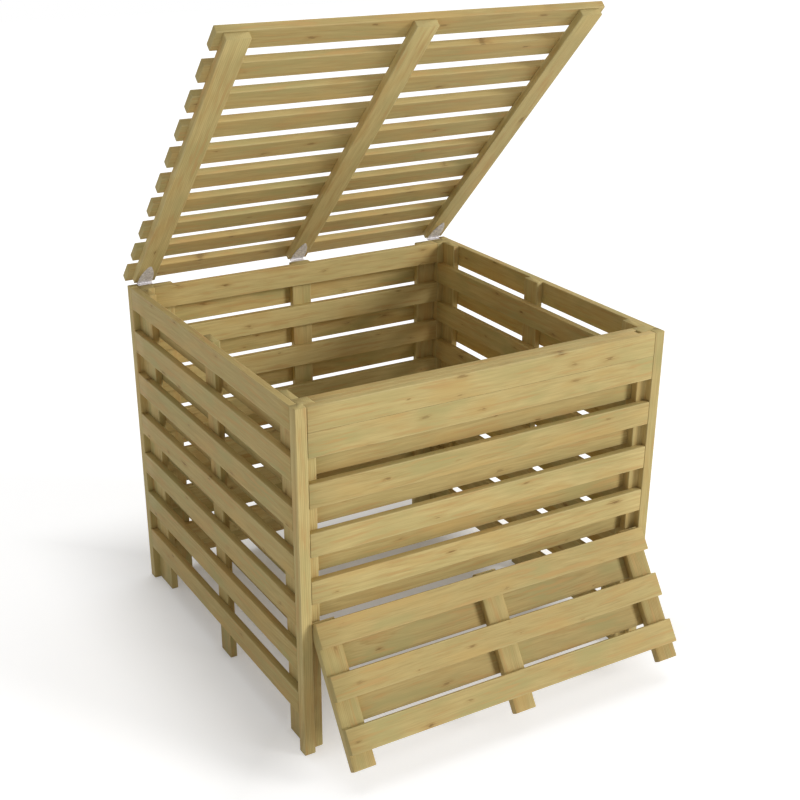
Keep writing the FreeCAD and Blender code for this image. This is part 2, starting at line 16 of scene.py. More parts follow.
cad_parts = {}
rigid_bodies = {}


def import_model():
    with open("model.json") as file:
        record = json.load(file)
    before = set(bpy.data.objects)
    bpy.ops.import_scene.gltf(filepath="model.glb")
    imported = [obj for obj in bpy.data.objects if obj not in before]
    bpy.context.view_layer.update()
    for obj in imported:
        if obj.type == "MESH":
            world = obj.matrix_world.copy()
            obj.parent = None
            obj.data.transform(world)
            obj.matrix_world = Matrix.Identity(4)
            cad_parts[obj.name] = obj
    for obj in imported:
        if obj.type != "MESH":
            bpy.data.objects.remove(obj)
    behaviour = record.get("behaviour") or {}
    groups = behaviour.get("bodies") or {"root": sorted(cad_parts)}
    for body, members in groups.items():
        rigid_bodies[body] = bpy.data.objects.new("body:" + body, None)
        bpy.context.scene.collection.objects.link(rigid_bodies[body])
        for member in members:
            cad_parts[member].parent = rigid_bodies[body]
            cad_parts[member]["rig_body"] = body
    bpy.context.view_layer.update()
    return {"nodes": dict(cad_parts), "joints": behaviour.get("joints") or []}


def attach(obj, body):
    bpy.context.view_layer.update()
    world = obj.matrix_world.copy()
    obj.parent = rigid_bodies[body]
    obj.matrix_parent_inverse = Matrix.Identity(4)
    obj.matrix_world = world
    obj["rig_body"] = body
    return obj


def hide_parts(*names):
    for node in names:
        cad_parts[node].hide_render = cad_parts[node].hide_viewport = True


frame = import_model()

# %% [markdown]
# ## The camera
#
# The photograph's camera stood at the front left, above the bin, and looked down at it. Its
# turn, its tilt and its place were worked out from the straight edges of the boards. A camera
# in Blender looks along its own -Z, so it is first raised to the horizon, then turned. The
# picture's centre isn't on the lens axis, because the photograph was cropped, and the two
# shifts make up for that.

# %% Place the camera
CAMERA_PLACE = (-1.598377, -3.241473, 1.929530)
CAMERA_TURN = math.radians(30.29204)
CAMERA_DIP = math.radians(24.94561)
CAMERA_TILT = math.radians(0.12316)
FOCAL_IN_WIDTHS = 1312.652 / 800
SHIFT = (0.0133, 0.0799)


def add_camera():
    """The camera's turn is Rz(-turn) Rx(90 degrees - dip) Rz(tilt)."""
    data = bpy.data.cameras.new("photo_camera")
    data.sensor_width = 36.0
    data.lens = FOCAL_IN_WIDTHS * data.sensor_width
    data.shift_x, data.shift_y = SHIFT
    camera = bpy.data.objects.new("photo_camera", data)
    turn = Matrix.Rotation(-CAMERA_TURN, 4, "Z")
    rise = Matrix.Rotation(math.pi / 2 - CAMERA_DIP, 4, "X")
    tilt = Matrix.Rotation(CAMERA_TILT, 4, "Z")
    camera.matrix_world = Matrix.Translation(CAMERA_PLACE) @ turn @ rise @ tilt
    bpy.context.scene.collection.objects.link(camera)
    bpy.context.scene.camera = camera
    return camera


camera = add_camera()
print("lens", round(camera.data.lens, 2), "mm")

# %% [markdown]
# ## Where each board lies
#
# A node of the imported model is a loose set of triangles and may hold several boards, such as
# the seven slats of a wall. Two triangles belong to one board when they share a point, so each
# point takes the lowest label among its triangles again and again until nothing changes.
#
# The lid and the hatch stand open. Their boards are measured in the shut position, where each
# one lies straight along X, Y or Z, and the finished piece is turned back about its hinge line.

# %% Measure the boards
LID_OPEN = math.radians(45.23)
HATCH_OPEN = math.radians(34.0)
SAME_DIGITS = 6                 # two points are one when they agree to a micrometre
OPEN_ANGLE = {"walls": 0.0, "lid": LID_OPEN, "hatch": HATCH_OPEN}
PIVOT = {joint["child"]: np.array(joint["pos_m"]) for joint in frame["joints"]}
PIVOT["walls"] = np.zeros(3)


def body_of(node):
    return frame["nodes"][node]["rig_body"]


def swing(points, body, direction):
    """Points turned about the body's hinge line, to open (+1) or to shut (-1).

    y' = y cos a + z sin a and z' = z cos a - y sin a, measured from the line.
    """
    angle = OPEN_ANGLE[body] * direction
    c, s = math.cos(angle), math.sin(angle)
    turn = np.array([[1, 0, 0], [0, c, s], [0, -s, c]])
    return (points - PIVOT[body]) @ turn.T + PIVOT[body]


def mesh_arrays(node):
    """Points and triangles of a node, with points at one place made one."""
    mesh = frame["nodes"][node].data
    mesh.calc_loop_triangles()
    points = np.empty(len(mesh.vertices) * 3)
    mesh.vertices.foreach_get("co", points)
    corners = np.empty(len(mesh.loop_triangles) * 3, dtype=np.int32)
    mesh.loop_triangles.foreach_get("vertices", corners)
    points = points.reshape(-1, 3)
    _, first, same = np.unique(
        np.round(points, SAME_DIGITS), axis=0, return_index=True, return_inverse=True)
    return points[first], same.reshape(-1)[corners].reshape(-1, 3)


def solid_boxes(node):
    """Lowest and highest corner of every separate solid of a node, in the shut position."""
    points, triangles = mesh_arrays(node)
    points = swing(points, body_of(node), -1)
    label = np.arange(len(points))
    while True:
        lowest = label[triangles].min(axis=1)
        new = label.copy()
        for corner in range(3):
            np.minimum.at(new, triangles[:, corner], lowest)
        if (new == label).all():
            break
        label = new
    groups = [points[label == one] for one in np.unique(label)]
    return sorted((tuple(g.min(axis=0)), tuple(g.max(axis=0))) for g in groups)


METAL_WORDS = ("hinge", "pin")
metal_nodes = sorted(n for n in frame["nodes"] if any(w in n for w in METAL_WORDS))
wood_nodes = sorted(n for n in frame["nodes"] if n not in metal_nodes)
boards = {node: solid_boxes(node) for node in wood_nodes}
print(len(wood_nodes), "timber nodes with", sum(map(len, boards.values())), "boards")

# %% [markdown]
# ## One surface for every board
#
# A planed board is a section carried along a straight line. The section is a rectangle whose
# corners are quarter rounds, and near both ends it shrinks a little, which makes the small
# bevel that a saw leaves when the end is cleaned up. A modifier could round a cube, but a
# surface of our own also knows where it is on the board. Each point keeps three notes for the
# finish: its place measured along, across and through the board, the place of the tree's
# centre as seen from the board, and how near it is to an edge or a sawn end.

# %% Sections and sweeps
EDGE_ROUND = 0.0022             # radius of a board's long edges
END_EASE = 0.0009               # length of the bevel at a sawn end
END_SHRINK = 0.8                # how far the section's sides move in there, for 1 of length
ROUND_STEPS = 4
ARC_MARGIN = 1.5                # place of the point beside an arc, where the arc's end is at 1


def rounded_outline(corners, radii):
    """Outline whose corners are cut by arcs, and a mask that is 1 on the arcs.

    For a corner with unit directions a and b to its neighbours, the arc's ends lie
    r / tan(h) along them, where h is half the corner's angle. Between them the curve is
    corner + reach * ((1-t)^2 a + t^2 b), which is a round of the same ends and tangents.
    One more point on each flat beside it keeps the smooth shading off the flats.
    """
    corners = np.asarray(corners, float)
    before, after = np.roll(corners, 1, axis=0), np.roll(corners, -1, axis=0)
    to_before = before - corners
    to_after = after - corners
    a = to_before / np.linalg.norm(to_before, axis=1, keepdims=True)
    b = to_after / np.linalg.norm(to_after, axis=1, keepdims=True)
    half = np.arccos(np.clip((a * b).sum(axis=1), -1, 1)) / 2
    reach = (np.asarray(radii, float) / np.tan(half))[:, None, None]
    t = np.linspace(0, 1, ROUND_STEPS + 1)[None, :, None]
    arcs = corners[:, None] + reach * ((1 - t) ** 2 * a[:, None] + t ** 2 * b[:, None])
    start = corners[:, None] + reach * ARC_MARGIN * a[:, None]
    end = corners[:, None] + reach * ARC_MARGIN * b[:, None]
    ring = np.concatenate([start, arcs, end], axis=1)
    mask = np.ones(ring.shape[:2])
    mask[:, 0] = mask[:, -1] = 0
    return ring.reshape(-1, 2), mask.ravel()


def sweep(outline, mask, length, stations):
    """Section carried along a length. Its first and last rings are shrunk by the end ease.

    Point (i, j) is (s_i, centre + (outline_j - centre) * shrink_i), where shrink is 1 but at
    the two ends.
    """
    s = np.concatenate([[0, END_EASE], np.linspace(0, 1, stations + 2)[1:-1] * length,
                        [length - END_EASE, length]])
    centre = (outline.max(axis=0) + outline.min(axis=0)) / 2
    half = (outline.max(axis=0) - outline.min(axis=0)) / 2
    shrink = np.ones((len(s), 1, 2))
    shrink[[0, -1]] = 1 - END_EASE * END_SHRINK / half
    ring = (outline[None] - centre) * shrink + centre
    points = np.concatenate([np.repeat(s[:, None, None], len(outline), axis=1), ring], axis=2)
    sawn = np.zeros(points.shape[:2])
    sawn[[0, -1]] = 1
    edge = np.repeat(mask[None], len(s), axis=0)
    edge[[0, -1]] = 1
    return points, edge, sawn


def grid_faces(rows, columns):
    """Quads of a grid that closes round its columns, and the two end faces."""
    i, j = np.meshgrid(np.arange(rows - 1), np.arange(columns), indexing="ij")
    k = (j + 1) % columns
    quads = np.stack([i * columns + j, i * columns + k, (i + 1) * columns + k,
                      (i + 1) * columns + j], axis=-1).reshape(-1, 4)
    caps = [list(range(columns))[::-1], list(range((rows - 1) * columns, rows * columns))]
    return quads.tolist() + caps


print("a board's section has", 4 * (ROUND_STEPS + 3), "points")

# %% [markdown]
# The notes go into the mesh as attributes. `grain` is the place on the board, `pith` is where
# the tree's centre was, and `edge` and `sawn` are the two masks. Random numbers come from one
# seeded source and are drawn board by board in the order of the names, so each run is the same.

# %% Put the boards together
SEED = 41
BOARD_SHIFT = 7.3               # spreads the boards along the pattern, so no two are alike
SHIFTS = (1, 9)
STATIONS = 12                   # rings of points between the two ends of a board
PITH_FAR = ((0.10, 0.16), (0.0, 0.03))      # spans of the centre's place across and through
PITH_NEAR = ((0.0, 0.022), (0.030, 0.075))
rng = np.random.default_rng(SEED)


def store(mesh, name, kind, values):
    attribute = mesh.attributes.new(name, kind, "POINT")
    field = "vector" if kind == "FLOAT_VECTOR" else "value"
    attribute.data.foreach_set(field, np.ascontiguousarray(values, np.float32).ravel())


def pith_place(straight):
    """Where the tree's centre lies, across and through the board, from the board's middle.

    A board cut beside the centre shows wide arches, and one cut across the rings shows
    straight lines, because its centre lies far out to one side.
    """
    side = rng.choice([-1.0, 1.0], 2)
    across, through = PITH_FAR if straight else PITH_NEAR
    return side * (rng.uniform(*across), rng.uniform(*through))


def timber(name, node, pieces):
    """One object from (points, faces, grain, pith, edge, sawn) of each of its boards."""
    start, points, faces, notes = 0, [], [], []
    for co, quads, grain, pith, edge, sawn in pieces:
        points.append(co)
        faces += [[corner + start for corner in face] for face in quads]
        notes.append((grain, np.repeat(pith[None], len(co), axis=0), edge, sawn))
        start += len(co)
    mesh = bpy.data.meshes.new(name)
    place = swing(np.concatenate(points), body_of(node), 1)
    mesh.from_pydata(place.tolist(), [], faces)
    for field, (title, kind) in enumerate((("grain", "FLOAT_VECTOR"), ("pith", "FLOAT_VECTOR"),
                                           ("edge", "FLOAT"), ("sawn", "FLOAT"))):
        store(mesh, title, kind, np.concatenate([note[field] for note in notes]))
    mesh.shade_smooth()
    piece = bpy.data.objects.new(name, mesh)
    bpy.context.scene.collection.objects.link(piece)
    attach(piece, body_of(node))
    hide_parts(node)
    return piece


def straight_piece(low, high, along, outline, mask, straight, stations=STATIONS):
    """Points and notes of one board, its section given in the two axes other than along.

    The centre's third number is the board's tone. Its family sets it again further down.
    """
    low, high = np.array(low), np.array(high)
    points, edge, sawn = sweep(outline, mask, high[along] - low[along], stations)
    others = [axis for axis in range(3) if axis != along]
    flat = points.reshape(-1, 3)
    co = np.empty_like(flat)
    co[:, along] = low[along] + flat[:, 0]
    co[:, others[0]] = flat[:, 1]
    co[:, others[1]] = flat[:, 2]
    faces = grid_faces(*points.shape[:2])
    if along == 1:
        faces = [face[::-1] for face in faces]      # X to Z turns left-handed about Y
    middle = (low + high) / 2
    size = (high - low)[others]
    wide, thin = (others[0], others[1]) if size[0] >= size[1] else (others[1], others[0])
    grain = (co - middle)[:, [along, wide, thin]]
    grain[:, 0] += BOARD_SHIFT * rng.uniform(*SHIFTS)
    pith = np.array([*pith_place(straight), rng.uniform()])
    return co, faces, grain, pith, edge.ravel(), sawn.ravel()


def rectangle_corners(low, high, axes):
    (a, b), (c, d) = ((low[axis], high[axis]) for axis in axes)
    return [(a, c), (b, c), (b, d), (a, d)]


def plain_board(low, high, straight, radii):
    """Rectangle of the two shorter sides, carried along the longest."""
    along = int(np.argmax(np.subtract(high, low)))
    axes = [axis for axis in range(3) if axis != along]
    outline, mask = rounded_outline(rectangle_corners(low, high, axes), radii)
    return straight_piece(low, high, along, outline, mask, straight)


print("a board has", STATIONS + 4, "rings of points")

# %% [markdown]
# The corner posts aren't rectangles: each has a rebate on both outside faces, where the slats'
# ends lap over it. The hatch's battens have a round back corner at the top. Both are the same
# sweep with another outline, upright for a post, and from side to side for a batten. The two
# boards at the top of the front meet edge to edge, and their meeting edges are left sharper.
#
# Each family of boards draws its tone from a span of its own, between 0 for the palest
# board and 1 for the darkest, so the outside of the left wall, the hatch and the lid's slats
# are darkest, and the lid's battens, the inside of the back and the front left pieces palest.
# The first family whose word starts the name counts, and a board of no family draws from it all.

# %% Make the timber
POST_FACE = 0.028               # width of a post's outside faces beside their rebates
BOARD_THICK = 0.019             # of boards and battens, and the depth of a rebate
MIDDLE_OF_WALLS = -0.5          # y that parts the front posts from the back ones
INNER_ROUND = 0.0004            # radius in the corner of a rebate
HATCH_STATIONS = 4              # few, as a hatch batten is swept over its width only
ON_END = 1e-6                   # points this near to a batten's end lie on it
STRAIGHT_WORDS = ("post", "batten")         # names of the pieces cut across the rings
SEAM_ROUND = 0.0009             # radius of the edges where the top boards meet
ALL_EDGES = (EDGE_ROUND,) * 4
SEAM_EDGES = {"front_top_board": (SEAM_ROUND, SEAM_ROUND, EDGE_ROUND, EDGE_ROUND),
              "front_second_board": (EDGE_ROUND, EDGE_ROUND, SEAM_ROUND, SEAM_ROUND)}
TONE_SPANS = (("lid_slat", 0.55, 0.95), ("lid", 0.00, 0.04), ("hatch", 0.60, 0.90),
              ("left_outer", 0.80, 1.00), ("back_inner", 0.00, 0.05), ("back", 0.22, 0.27),
              ("right", 0.22, 0.27), ("left_inner", 0.22, 0.27), ("front_left", 0.00, 0.05),
              ("front_top_board", 0.30, 0.34), ("front_second", 0.36, 0.40),
              ("front_upper", 0.65, 0.70))


def corner_post(low, high):
    """Square outline with two rebates, one on each side of its outside corner.

    It is written for the front left post and mirrored for the others. One mirroring turns
    the order of the points round, and two put it right again.
    """
    right, back = low[0] > 0, high[1] > MIDDLE_OF_WALLS
    a, b, c, d = low[0], high[0], low[1], high[1]
    f, t = POST_FACE, BOARD_THICK
    outline = [(a, c), (a + f, c), (a + f, c + t), (b, c + t), (b, d), (a + t, d),
               (a + t, c + f), (a, c + f)]
    outline = np.array(outline)
    if right:
        outline[:, 0] = a + b - outline[:, 0]
    if back:
        outline[:, 1] = c + d - outline[:, 1]
    radii = [EDGE_ROUND] * len(outline)
    radii[2] = radii[6] = INNER_ROUND
    if right != back:
        outline, radii = outline[::-1], radii[::-1]
    ring, mask = rounded_outline(outline, radii)
    return straight_piece(low, high, 2, ring, mask, True)


def hatch_batten(low, high):
    """Side view of the batten, with a round of half its thickness at the top of the back."""
    corners = rectangle_corners(low, high, (1, 2))
    radii = [EDGE_ROUND, EDGE_ROUND, BOARD_THICK / 2, EDGE_ROUND]
    ring, mask = rounded_outline(corners, radii)
    co, faces, grain, pith, edge, _ = straight_piece(
        low, high, 0, ring, mask, True, HATCH_STATIONS)
    middle = (np.array(low) + np.array(high)) / 2
    grain = (co - middle)[:, [2, 0, 1]]
    grain[:, 0] += BOARD_SHIFT * rng.uniform(*SHIFTS)
    ends = (np.abs(co[:, 2] - low[2]) < ON_END) | (np.abs(co[:, 2] - high[2]) < ON_END)
    return co, faces, grain, pith, edge, ends.astype(float)


def board_tone(node):
    """0 for the palest board and 1 for the darkest, drawn from the span of its family."""
    spans = [(low, high) for word, low, high in TONE_SPANS if node.startswith(word)]
    return rng.uniform(*(spans[0] if spans else (0.0, 1.0)))


def dress(node):
    """All the boards of one node, each with the sweep that suits it and its own tone."""
    straight = any(word in node for word in STRAIGHT_WORDS)
    if "post" in node:
        pieces = [corner_post(*box) for box in boards[node]]
    elif node.startswith("hatch") and "batten" in node:
        pieces = [hatch_batten(*box) for box in boards[node]]
    else:
        radii = SEAM_EDGES.get(node, ALL_EDGES)
        pieces = [plain_board(*box, straight, radii) for box in boards[node]]
    for piece in pieces:
        piece[3][2] = board_tone(node)
    return timber(f"{node}_timber", node, pieces)


timbers = [dress(node) for node in wood_nodes]
print(len(timbers), "timber pieces,", sum(len(t.data.polygons) for t in timbers), "faces")

# %% [markdown]
# ## The hinge screws
#
# Each hinge leaf is held by countersunk screws with a cross recess. A head is a disc of rings
# whose height is a shallow dome, less a cross-shaped dip with soft sides. It is worked out on
# a polar grid, and its rim runs down into the hole so that no gap shows. The heads of the lid
# leaf face down, and those of the wall leaf face backwards, because it is bent down behind the
# wall.

# %% Make the screws
SCREW_RADIUS = 0.0033
SCREW_DOME = 0.00025
SCREW_RECESS = 0.0011
RIM_DROP = 0.001
HEAD_RINGS = 18
HEAD_POINTS = 48
INNERMOST = 0.03                # the smallest ring, as a share of the radius
BAR_HALF = (0.15, 0.08)         # half a bar's width and its soft side, in radii
BAR_REACH = (0.6, 0.12)         # half a bar's length and its soft end
HINGES = (("left", -0.455), ("middle", 0.0), ("right", 0.455))
LID_SCREWS = (-0.020, -0.042, -0.064)       # from the hinge line along the lid leaf
LEAF_UNDER = -0.0004            # height of that leaf's underside above the hinge line
WALL_SCREWS = (0.8695, 0.8515)  # heights above the ground
WALL_LEAF_BACK = 0.0107         # y of the wall leaf's back
FACING = {"down": [[1, 0, 0], [0, -1, 0], [0, 0, -1]],
          "back": [[1, 0, 0], [0, 0, 1], [0, -1, 0]]}


def step_down(value, at, soft):
    """1 below the limit and 0 above it, with a soft change of the given width."""
    t = np.clip((at + soft / 2 - value) / soft, 0, 1)
    return t * t * (3 - 2 * t)


def screw_head(turn):
    """Polar grid: z = dome (1 - r^2) - recess * cross, and a rim that drops by 1 mm."""
    rings = np.concatenate([np.linspace(INNERMOST, 1, HEAD_RINGS), [1.0]])
    around = np.linspace(0, 2 * math.pi, HEAD_POINTS, endpoint=False)
    r, a = np.meshgrid(rings, around, indexing="ij")
    x, y = r * np.cos(a), r * np.sin(a)
    u, v = np.abs(x), np.abs(y)
    cross = np.maximum(step_down(u, *BAR_HALF) * step_down(v, *BAR_REACH),
                       step_down(v, *BAR_HALF) * step_down(u, *BAR_REACH))
    z = SCREW_DOME * (1 - r ** 2) - SCREW_RECESS * cross
    z[-1] = -RIM_DROP
    c, s = math.cos(turn), math.sin(turn)
    flat = np.stack([(x * c - y * s) * SCREW_RADIUS, (x * s + y * c) * SCREW_RADIUS, z], axis=-1)
    return flat.reshape(-1, 3), grid_faces(*r.shape)


def screws(name, body, places, facing):
    """All the screws of one leaf. Places are their heads' centres in the shut position."""
    points, faces, start = [], [], 0
    for place in places:
        head, quads = screw_head(rng.uniform(0, math.pi))
        points.append(head @ np.array(FACING[facing]).T + place)
        faces += [[corner + start for corner in face] for face in quads]
        start += len(head)
    mesh = bpy.data.meshes.new(name)
    mesh.from_pydata(swing(np.concatenate(points), body, 1).tolist(), [], faces)
    mesh.shade_smooth()
    piece = bpy.data.objects.new(name, mesh)
    bpy.context.scene.collection.objects.link(piece)
    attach(piece, body)
    return piece


hinge_line = PIVOT["lid"]
screw_pieces = []
for side, x in HINGES:
    lid_places = [(x, hinge_line[1] + y, hinge_line[2] + LEAF_UNDER) for y in LID_SCREWS]
    wall_places = [(x, WALL_LEAF_BACK, z) for z in WALL_SCREWS]
    screw_pieces.append(screws(f"{side}_lid_leaf_screws", "lid", lid_places, "down"))
    screw_pieces.append(screws(f"{side}_wall_leaf_screws", "walls", wall_places, "back"))
print(len(screw_pieces), "sets of screws")

# %% [markdown]
# ## Building a material by hand
#
# A finish is a small network. These helpers add a node, set its plain values and join its
# linked ones, so that each finish below reads as a short list of steps.

# %% Helpers for materials


def add(tree, kind, values=(), **settings):
    """New node. A value that is a socket is linked, and any other is set on the input."""
    made = tree.nodes.new(kind)
    for key, value in settings.items():
        setattr(made, key, value)
    for socket, value in dict(values).items():
        if isinstance(value, bpy.types.NodeSocket):
            tree.links.new(value, made.inputs[socket])
        else:
            made.inputs[socket].default_value = value
    return made


def calc(tree, operation, *values):
    return add(tree, "ShaderNodeMath", enumerate(values), operation=operation).outputs[0]


def vcalc(tree, operation, *values):
    made = add(tree, "ShaderNodeVectorMath", enumerate(values), operation=operation)
    return made.outputs["Value" if operation == "LENGTH" else "Vector"]


def ramp(tree, value, low, high, to_low=0.0, to_high=1.0, smooth=True):
    """Value taken from one range to another, clamped at both ends."""
    made = add(tree, "ShaderNodeMapRange", {0: value, 1: low, 2: high, 3: to_low, 4: to_high})
    made.interpolation_type = "SMOOTHSTEP" if smooth else "LINEAR"
    return made.outputs[0]


def blend(tree, factor, a, b, mode="MIX"):
    """Two colours mixed. They are sockets 6 and 7 of a node that mixes other kinds as well."""
    return add(tree, "ShaderNodeMix", {0: factor, 6: a, 7: b}, data_type="RGBA",
               blend_type=mode).outputs[2]


def noise(tree, place, scale, detail=2.0, rough=0.5):
    values = {"Vector": place, "Scale": scale, "Detail": detail, "Roughness": rough}
    return add(tree, "ShaderNodeTexNoise", values).outputs["Fac"]


def group(name, inputs, outputs):
    """Empty shader group with named sockets, its input node and its output node."""
    tree = bpy.data.node_groups.new(name, "ShaderNodeTree")
    for way, sockets in (("INPUT", inputs), ("OUTPUT", outputs)):
        for title, kind in sockets.items():
            tree.interface.new_socket(title, in_out=way, socket_type=f"NodeSocket{kind}")
    return tree, tree.nodes.new("NodeGroupInput").outputs, tree.nodes.new("NodeGroupOutput")


def empty_material(name):
    made = bpy.data.materials.new(name)
    made.use_nodes = True
    made.node_tree.nodes.clear()
    return made, made.node_tree


print("helpers ready")

# %% [markdown]
# ## Wood that grows through the board
#
# Growth rings are tubes round the tree's centre. A board is cut out of those tubes, so its
# faces and its ends have to show one and the same set of rings. That is why the pattern is
# worked out in space: for a point at (x, y, z) along, across and through the board, the ring
# is the distance to the centre line, bent by slow noise along the length. The distance,
# divided by the width of a ring, is cut to its fraction. It climbs slowly through the pale
# spring wood and falls at once after the dark summer wood.
#
# A knot is a branch. The saw cuts most branches at a slant, so on these slats a knot is a long
# smear with a thin dark heart and feathery ends that run with the grain. Cells of a flat
# Voronoi pattern over the face give each branch its place, and only some cells have one. The
# distance to it is measured shorter along the board than across it and is torn by streaky
# noise. Near a knot the ring distance is pushed out, and so the lines flow round it.

# %% The ring and knot group
GROWTH_IN = {"Grain": "Vector", "Pith": "Vector", "Ring Width": "Float", "Wander": "Float",
             "Knots": "Float"}
MASKS = ("Ring", "Fibre", "Streak", "Line", "Cloud", "Board", "Knot", "Feather", "Halo")
KNOT_CELL = (0.150, 0.046)      # length and width of the cell that may hold a knot
KNOT_SLANT = 3.0                # how much longer than wide a knot is
KNOT_SIZE = (0.0010, 0.0034)
KNOT_DEPTH = (0.45, 1.0)        # the palest knot and the darkest
NOISE_SPAN = (0.2, 0.8)         # nearly all values of a noise lie in it
TORN = (50.0, 320.0, 0.0032)    # noise along and across, and how far it moves the edge
SWEPT = (14.0, 110.0, 0.0030)
HAIRS = (22.0, 330.0)           # noise along and across that parts the feathery ends
HAIR_EDGE = (0.42, 0.58)
KNOT_EDGE = (1.15, 0.45)        # where each mask begins and is full, in knot sizes
FEATHER_EDGE = (3.6, 0.6)
HALO_EDGE = (6.0, 0.4)
KNOT_PUSH = 1.6                 # how far the rings are pushed out, in knot sizes
BEND_NOISE = (1.4, 5.0)
BEND = 0.045                    # how far the tree's centre wanders along a board
WANDER_NOISE = (6.0, 60.0)
RING_DROP = 0.84                # share of a ring after which the dark wood ends
SEED_SPREAD = 37.0              # moves the cells of the knots from board to board
# Streaks of each kind: how fine along, how fine across, detail and roughness.
FIBRE = (16.0, 1000.0, 3.0, 0.6)
STREAK = (8.0, 92.0, 3.0, 0.6)
LINE = (10.0, 380.0, 3.0, 0.6)
CLOUD = (5.5, 16.0, 2.0, 0.5)


def stretched(tree, place, along, across):
    """The same place with its length scaled apart from the other two directions."""
    return vcalc(tree, "MULTIPLY", place, (along, across, across))


def streaks_of(tree, place, along, across, detail, rough):
    return noise(tree, stretched(tree, place, along, across), 1.0, detail, rough)


def branch_masks(tree, grain, part, seed, knots):
    """Masks of the knot, its feathery ends and its halo, and the knot's size.

    The masks come from near = ragged distance / size, which is 1 at the knot's own edge.
    """
    cell = add(tree, "ShaderNodeCombineXYZ", {
        0: calc(tree, "DIVIDE", part[0], KNOT_CELL[0]),
        1: calc(tree, "ADD", calc(tree, "DIVIDE", part[1], KNOT_CELL[1]), seed)}).outputs[0]
    branch = add(tree, "ShaderNodeTexVoronoi", {"Vector": cell, "Scale": 1.0, "Randomness": 1.0},
                 voronoi_dimensions="2D")
    pick = add(tree, "ShaderNodeSeparateColor", {0: branch.outputs["Color"]}).outputs
    away = vcalc(tree, "SUBTRACT", cell, branch.outputs["Position"])
    away = vcalc(tree, "MULTIPLY", away, (KNOT_CELL[0] / KNOT_SLANT, KNOT_CELL[1], 0.0))
    ragged = [ramp(tree, noise(tree, stretched(tree, grain, along, across), 1.0), *NOISE_SPAN,
                   -most, most, smooth=False) for along, across, most in (TORN, SWEPT)]
    far = calc(tree, "ADD", vcalc(tree, "LENGTH", away), calc(tree, "ADD", *ragged))
    size = ramp(tree, pick[1], 0.0, 1.0, *KNOT_SIZE, smooth=False)
    strong = ramp(tree, pick[2], 0.0, 1.0, *KNOT_DEPTH, smooth=False)
    has = calc(tree, "MULTIPLY", calc(tree, "GREATER_THAN", knots, pick[0]), strong)
    near = calc(tree, "DIVIDE", far, size)
    knot, feather, halo = (calc(tree, "MULTIPLY", ramp(tree, near, *edge), has)
                           for edge in (KNOT_EDGE, FEATHER_EDGE, HALO_EDGE))
    hairs = ramp(tree, noise(tree, stretched(tree, grain, *HAIRS), 1.0), *HAIR_EDGE)
    return knot, calc(tree, "MULTIPLY", feather, hairs), halo, size


def growth_group():
    tree, given, result = group("growth_rings", GROWTH_IN, {mask: "Float" for mask in MASKS})
    grain, pith = given["Grain"], given["Pith"]
    part = add(tree, "ShaderNodeSeparateXYZ", {0: grain}).outputs
    centre = add(tree, "ShaderNodeSeparateXYZ", {0: pith}).outputs
    seed = calc(tree, "MULTIPLY", centre[2], SEED_SPREAD)
    knot, feather, halo, size = branch_masks(tree, grain, part, seed, given["Knots"])

    slow = add(tree, "ShaderNodeTexNoise", {
        "Vector": stretched(tree, grain, *BEND_NOISE), "Scale": 1.0, "Detail": 1.0})
    bend = vcalc(tree, "SUBTRACT", slow.outputs["Color"], (0.5, 0.5, 0.5))
    bent = add(tree, "ShaderNodeSeparateXYZ", {0: vcalc(tree, "MULTIPLY", bend, (BEND,) * 3)})
    y = calc(tree, "ADD", calc(tree, "SUBTRACT", part[1], centre[0]), bent.outputs[0])
    z = calc(tree, "ADD", calc(tree, "SUBTRACT", part[2], centre[1]), bent.outputs[1])
    reach = calc(tree, "SQRT", calc(tree, "ADD", calc(tree, "MULTIPLY", y, y),
                                    calc(tree, "MULTIPLY", z, z)))
    round_knot = calc(tree, "MULTIPLY", calc(tree, "MULTIPLY", halo, halo), size)
    reach = calc(tree, "ADD", reach, calc(tree, "MULTIPLY", round_knot, KNOT_PUSH))
    rings = calc(tree, "DIVIDE", reach, given["Ring Width"])
    wander = noise(tree, stretched(tree, grain, *WANDER_NOISE), 1.0)
    wander = calc(tree, "MULTIPLY", wander, given["Wander"])
    phase = calc(tree, "FRACT", calc(tree, "ADD", rings, wander))
    ring = calc(tree, "MULTIPLY", calc(tree, "POWER", phase, 2.0),
                ramp(tree, phase, 1.0, RING_DROP))

    flow = vcalc(tree, "ADD", grain, add(tree, "ShaderNodeCombineXYZ", {
        0: 0.0, 1: bent.outputs[0], 2: bent.outputs[1]}).outputs[0])
    found = {
        "Ring": ring, "Knot": knot, "Feather": feather, "Halo": halo,
        "Fibre": streaks_of(tree, grain, *FIBRE), "Streak": streaks_of(tree, flow, *STREAK),
        "Line": streaks_of(tree, flow, *LINE), "Cloud": streaks_of(tree, grain, *CLOUD),
        "Board": centre[2],
    }
    for mask, value in found.items():
        tree.links.new(value, result.inputs[mask])
    return tree


growth = growth_group()
print(len(growth.nodes), "nodes in the growth group")

# %% [markdown]
# ## From masks to tones
#
# The second group turns the masks into the colour, the roughness and the height. Spring wood
# is a pale straw and summer wood a browner tan, and the streaks that run the length of a board
# lie between the two. The broadest streaks are smears of a redder brown. The preservative
# leaves an olive cast in cloudy patches, and where it took less the wood stays warm. Knots are
# red-brown in a warm halo. Rounded edges are paler, where handling has rubbed them, and the
# sawn ends drink in the preservative and are darker. Rings and fibres also stand up a little,
# so they go into the height.
#
# Every board has one number of its own, from 0 to 1. It makes the board paler or darker. Two
# multiples of it, cut to their fractions, serve as two more numbers that seem unrelated: one
# for how clear its rings are and one for how green it is.

